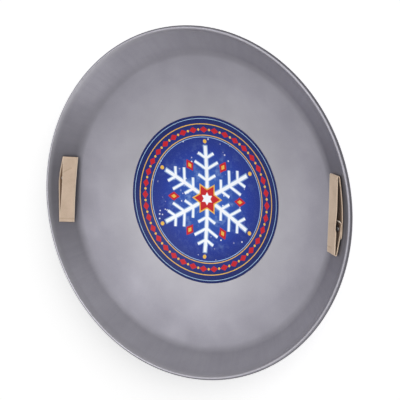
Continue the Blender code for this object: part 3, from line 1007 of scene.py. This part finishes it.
def kinked(place):
    """The high edge's lift at this place: it grows towards the rivet and ends just past it."""
    return ease(1 - place / KINK_REACH) ** 2 if place > 0 else ease(1 + place / KINK_RETURN)


def creased(place, across, start, end):
    """1 on the line from start to end, each (along the strap, across it), and 0 beside it."""
    run = np.subtract(end, start)
    off = np.subtract((place, across), start)
    share = np.clip(off @ run / (run @ run), 0, 1)
    return ease(1 - np.linalg.norm(off - run * share) / CREASE_WIDTH)


def worn(to_cut, length, width):
    """How far the high edge is drawn in, this far from a cut end: a quarter of an oval."""
    share = 1 - min(to_cut / length, 1)
    return width * (1 - math.sqrt(1 - share**2))


print("points round the webbing:", len(strip_section()))


# %% Sweep the section along a line
def webbing_mesh(name, line, on_grip, cup, kink, waist, corner, creases):
    """One loop of webbing. Cup, kink, waist and creases shape its grip, and corner its cut ends."""
    section = strip_section()
    run = np.gradient(line, axis=0)
    run /= np.linalg.norm(run, axis=1)[:, None]
    up_wall = np.array([1.0, 0, 0])
    through = np.cross(run, up_wall)
    through /= np.linalg.norm(through, axis=1)[:, None]
    places = lengths_along(line)
    verts, flat_places = [], []
    for row, point in enumerate(line):
        to_cut = min(places[row], places[-1] - places[row])
        gripped = on_grip[row] >= 0
        free, waisted = 0, 0
        if gripped:
            free = ease(on_grip[row] / FREE_AFTER) * ease((1 - on_grip[row]) / FREE_AFTER)
            waisted = waist * free * math.sin(math.pi * on_grip[row])
        for across, depth in section:
            share = across / (WEB_WIDTH / 2)
            across -= worn(to_cut, *corner) * max(share, 0)
            bend = free * (cup * share**2 + kink * kinked(point[1]) * max(share, 0) ** 3)
            crease = sum(creased(point[1], across, *ends) for ends in creases) if gripped else 0
            off_wall = depth + bend - CREASE_DEPTH * crease
            verts.append(point + up_wall * (across - waisted * share) + through[row] * off_wall)
            off_edge = (WEB_WIDTH / 2 - abs(across)) / SELVEDGE
            # how much painted shade the inside of the loop gets
            inside = ease(-2 * depth / WEB_THICKNESS) * ease(off_edge - SHADE_FREE_EDGE)
            flat_places.append((across, places[row], to_cut, inside, crease))
    rows, count = len(line), len(section)
    faces = []
    for row in range(rows - 1):
        for step in range(count):
            after = (step + 1) % count
            low, high = row * count, (row + 1) * count
            faces.append((low + step, low + after, high + after, high + step))
    faces.append(tuple(range(count))[::-1])
    faces.append(tuple(range((rows - 1) * count, rows * count)))
    mesh = bpy.data.meshes.new(name)
    mesh.from_pydata(verts, [], faces)
    for attribute, values in zip(WEBBING_NUMBERS, zip(*flat_places)):
        mesh.attributes.new(attribute, "FLOAT", "POINT").data.foreach_set("value", values)
    bm = bmesh.new()
    bm.from_mesh(mesh)
    bmesh.ops.recalc_face_normals(bm, faces=bm.faces)
    bm.to_mesh(mesh)
    bm.free()
    return mesh


print("attributes on each webbing vertex:", *WEBBING_NUMBERS)

# %% Make both loops and drill them
SHANK_DIAMETER = 4.8 * MM
HOLE_CLEARANCE = 0.3 * MM
SEAT_GAP = 0.3 * MM
DRILL_PAST = 2 * MM
# creases run from and to (along the strap, across it)
RIGHT_CREASE = ((-36 * MM, -15 * MM), (-36 * MM, 2 * MM))
LEFT_CREASE = ((-12 * MM, 15 * MM), (-22 * MM, -3 * MM))
LEFT_HEM = ((83 * MM, -15 * MM), (83 * MM, 15 * MM))
# a corner is worn over this length, and by this much of the width
BENDS = {
    "right": {
        "cup": 0.3 * MM, "kink": 1.7 * MM, "waist": 0.0, "corner": (8 * MM, 4.5 * MM),
        "creases": [RIGHT_CREASE],
    },
    "left": {
        "cup": 0.4 * MM, "kink": 0.6 * MM, "waist": 1.4 * MM, "corner": (30 * MM, 11 * MM),
        "creases": [LEFT_CREASE, LEFT_HEM],
    },
}

hole_radius = SHANK_DIAMETER / 2 + HOLE_CLEARANCE
for side, place in frames.items():
    name = f"{side}_webbing_loop"
    mesh = webbing_mesh(name, *lines[side], **BENDS[side])
    loop = add_piece(name, mesh, webbing, "cotton_webbing", f"{side}_handle", f"{side}_handle_webbing")
    loop.matrix_world = place
    drill(loop, place, hole_radius, -DRILL_PAST, lap_top + SEAT_GAP)
    drill(dish, place, hole_radius, -DRILL_PAST - SHEET, DRILL_PAST)
    print(name, "faces:", len(loop.data.polygons))

# %% [markdown]
# ## Rivets and washers
#
# A tubular rivet holds each loop. Its low head is outside the dish, its shank goes through the
# sheet and both laps, and its hollow end is rolled over a washer, so what shows inside is a
# ring with a hole. Both pieces are turned, with small radii where a real one has them, because
# an edge without a radius never catches light.

# %% Rivet steel
ZINC = (0.55, 0.55, 0.56)
ZINC_DULL = (0.38, 0.38, 0.39)

zinc, tree, shader = new_material("zinc_plated_steel")
place = object_place(tree)
dull = noise(tree, place, 380, detail=4, roughness=0.65).rise(0.4, 0.7)
turning = noise(tree, place, 2600, detail=1)
feed(
    shader,
    Base_Color=dull.tint(ZINC, ZINC_DULL),
    Roughness=0.28 + dull * 0.25,
    Metallic=1.0,
    Normal=bump(tree, turning, 0.02 * MM),
)
print("zinc nodes:", len(tree.tree.nodes))

# %% Turn the rivets and washers
HEAD_DIAMETER = 9.5 * MM
HEAD_HEIGHT = 1.6 * MM
HEAD_EDGE = 0.4 * MM
TAIL_DIAMETER = 7.4 * MM
TAIL_HEIGHT = 1.0 * MM
TAIL_BORE = 2.6 * MM
TAIL_BORE_DEPTH = 3.5 * MM
WASHER_DIAMETER = 10 * MM
WASHER_THICKNESS = 0.7 * MM
WASHER_EDGE_ROUND = 0.2 * MM
RIVET_STEPS = 64
TAIL_ROWS = 19
CROWN_ROWS = 15
WASHER_EDGE_ROWS = 5
SHARP_EDGE = math.radians(50)

washer_seat = lap_top + SEAT_GAP
tail_seat = washer_seat + WASHER_THICKNESS + SEAT_GAP


def rivet_section():
    """From the floor of the tail's bore, over the rolled tail and down to the head's crown."""
    bore = TAIL_BORE / 2
    roll = (TAIL_DIAMETER / 2 - bore) / 2
    floor_height = tail_seat + TAIL_HEIGHT - TAIL_BORE_DEPTH
    rows = [(0, floor_height), (bore, floor_height)]
    for turn in np.linspace(math.pi, 0, TAIL_ROWS):
        rows.append((bore + roll + roll * math.cos(turn), tail_seat + TAIL_HEIGHT * math.sin(turn)))
    head_seat = -SHEET - SEAT_GAP
    shank = SHANK_DIAMETER / 2
    rows += [(shank, tail_seat), (shank, head_seat), (HEAD_DIAMETER / 2, head_seat)]
    for turn in np.linspace(0, QUARTER, CROWN_ROWS):
        crown = (HEAD_HEIGHT - HEAD_EDGE) * math.sin(turn)
        rows.append((HEAD_DIAMETER / 2 * math.cos(turn), head_seat - HEAD_EDGE - crown))
    return rows


def washer_section():
    """Round the washer, with its outer edges rounded over."""
    outer = WASHER_DIAMETER / 2
    high = washer_seat + WASHER_THICKNESS
    edge = WASHER_EDGE_ROUND
    top = arc((outer - edge, high - edge), edge, QUARTER, 0, WASHER_EDGE_ROWS)
    under = arc((outer - edge, washer_seat + edge), edge, 0, -QUARTER, WASHER_EDGE_ROWS)
    return [(hole_radius, high), *top, *under, (hole_radius, washer_seat)]


for side, place in frames.items():
    rivet_mesh = turned_mesh(f"{side}_rivet", rivet_section(), RIVET_STEPS)
    rivet = add_piece(f"{side}_rivet", rivet_mesh, zinc, "rivet_steel", "dish", f"{side}_handle_rivet")
    washer_mesh = turned_mesh(f"{side}_washer", washer_section(), RIVET_STEPS, closed=True)
    washer = add_piece(f"{side}_washer", washer_mesh, zinc, "rivet_steel", "dish", f"{side}_handle_washer")
    rivet.matrix_world = washer.matrix_world = place
    for piece in (rivet, washer):
        piece.data.set_sharp_from_angle(angle=SHARP_EDGE)
print("rivets and washers:", 2 * len(frames))
